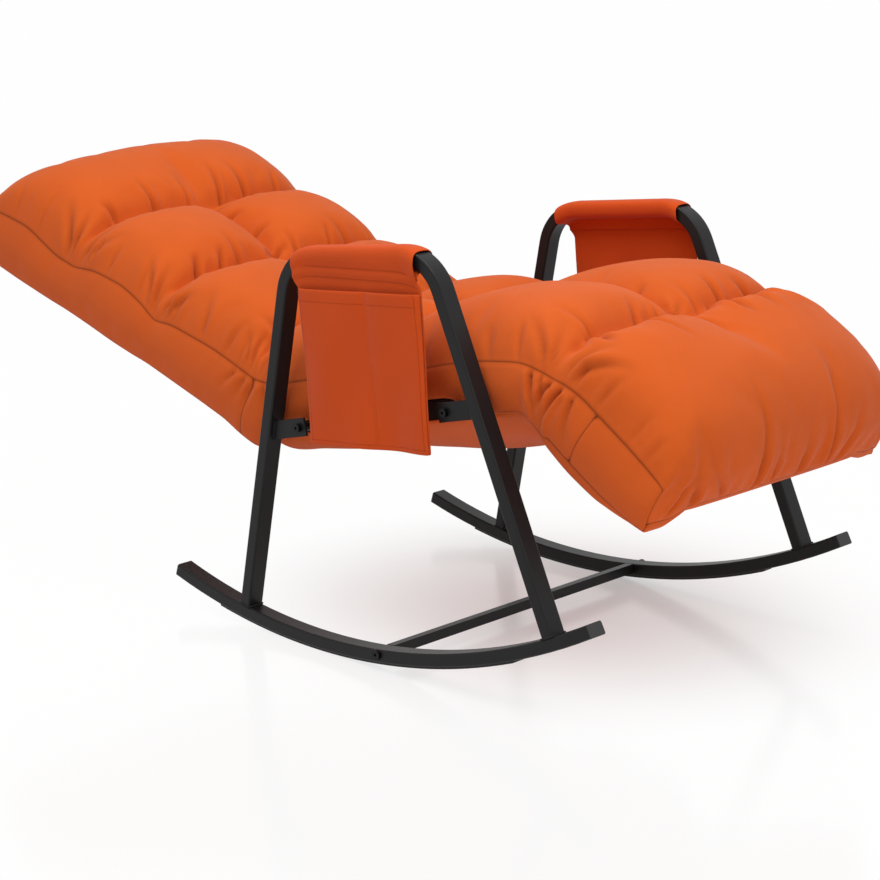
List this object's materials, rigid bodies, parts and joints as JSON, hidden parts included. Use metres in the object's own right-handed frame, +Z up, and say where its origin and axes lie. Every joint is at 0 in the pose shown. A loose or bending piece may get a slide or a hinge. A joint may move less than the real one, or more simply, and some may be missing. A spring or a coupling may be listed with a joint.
{
  "type": "rocking chair",
  "caption": "Reclining rocking chair: black tube side frames on curved rockers, tufted orange cushion on a hinged back, seat and footrest, and cloth arm covers with pockets.",
  "frame": {"origin": "middle of the bounding box, on the floor, with the chair standing rocked back as in the picture", "axes": "+Z up, -Y to the front where the sitter looks, +X to the sitter's left"},
  "size_m": [0.6448, 1.5174, 0.6548],
  "materials": {
    "frame_steel": "satin black powder coat",
    "hardware": "black coated steel",
    "hinge_steel": "zinc plated steel",
    "strip_rubber": "matt black rubber",
    "cap_plastic": "matt black plastic",
    "cushion_cloth": "smooth woven orange cover",
    "cover_cloth": "woven orange cloth",
    "under_cloth": "woven orange cloth",
    "webbing": "black polyester webbing"
  },
  "bodies": {
    "frame": {"anti_slip_strip_left": "strip_rubber", "anti_slip_strip_right": "strip_rubber", "arm_cover_left": "cover_cloth", "arm_cover_right": "cover_cloth", "arm_hoop_left": "frame_steel", "arm_hoop_right": "frame_steel", "arm_pocket_left": "cover_cloth", "arm_pocket_right": "cover_cloth", "cross_bar": "frame_steel", "cross_bar_bolts": "hardware", "cross_bar_inserts": "hinge_steel", "footrest_cheeks": "hinge_steel", "footrest_latch_springs": "hinge_steel", "footrest_latch_stops": "hinge_steel", "footrest_rivets": "hardware", "knee_fold": "cushion_cloth", "recline_cheeks": "hinge_steel", "recline_latch_springs": "hinge_steel", "recline_latch_stops": "hinge_steel", "recline_rivets": "hardware", "rocker_end_caps": "cap_plastic", "rocker_left": "frame_steel", "rocker_right": "frame_steel", "seat_bolts": "hardware", "seat_cross_tube_front": "frame_steel", "seat_cross_tube_rear": "frame_steel", "seat_nuts": "hardware", "seat_pad": "cushion_cloth", "seat_rail_left": "frame_steel", "seat_rail_right": "frame_steel", "seat_spacers": "hardware", "seat_tabs": "frame_steel", "seat_under_cloth": "under_cloth", "seat_webbing": "webbing"},
    "back": {"back_side_tube_left": "frame_steel", "back_side_tube_right": "frame_steel", "back_end_tube": "frame_steel", "back_cross_tube": "frame_steel", "back_webbing": "webbing", "back_pad": "cushion_cloth", "lumbar_pad": "cushion_cloth", "recline_sectors": "hinge_steel"},
    "footrest": {"foot_side_tube_left": "frame_steel", "foot_side_tube_right": "frame_steel", "foot_end_tube": "frame_steel", "foot_webbing": "webbing", "foot_pad": "cushion_cloth", "footrest_sectors": "hinge_steel"},
    "recline_latch": {"recline_latches": "hinge_steel"},
    "footrest_latch": {"footrest_latches": "hinge_steel"}
  },
  "joints": [
    {"name": "back_recline", "type": "hinge", "parent": "frame", "child": "back", "pos_m": [0, 0.07262, 0.30169], "axis": [1, 0, 0], "range_deg": [0, 54], "deforming": ["lumbar_pad"]},
    {"name": "footrest_fold", "type": "hinge", "parent": "frame", "child": "footrest", "pos_m": [0, -0.52919, 0.45174], "axis": [1, 0, 0], "range_deg": [-36, 36], "deforming": ["knee_fold"]},
    {"name": "recline_latch_slide", "type": "slide", "parent": "frame", "child": "recline_latch", "axis": [0, -0.9703, 0.2419], "range_m": [0, 0.003], "stiffness_N_per_m": 800, "springref_m": -0.003, "deforming": ["recline_latch_springs"]},
    {"name": "footrest_latch_slide", "type": "slide", "parent": "frame", "child": "footrest_latch", "axis": [0, 0.9703, -0.2419], "range_m": [0, 0.003], "stiffness_N_per_m": 800, "springref_m": -0.003, "deforming": ["footrest_latch_springs"]}
  ]
}
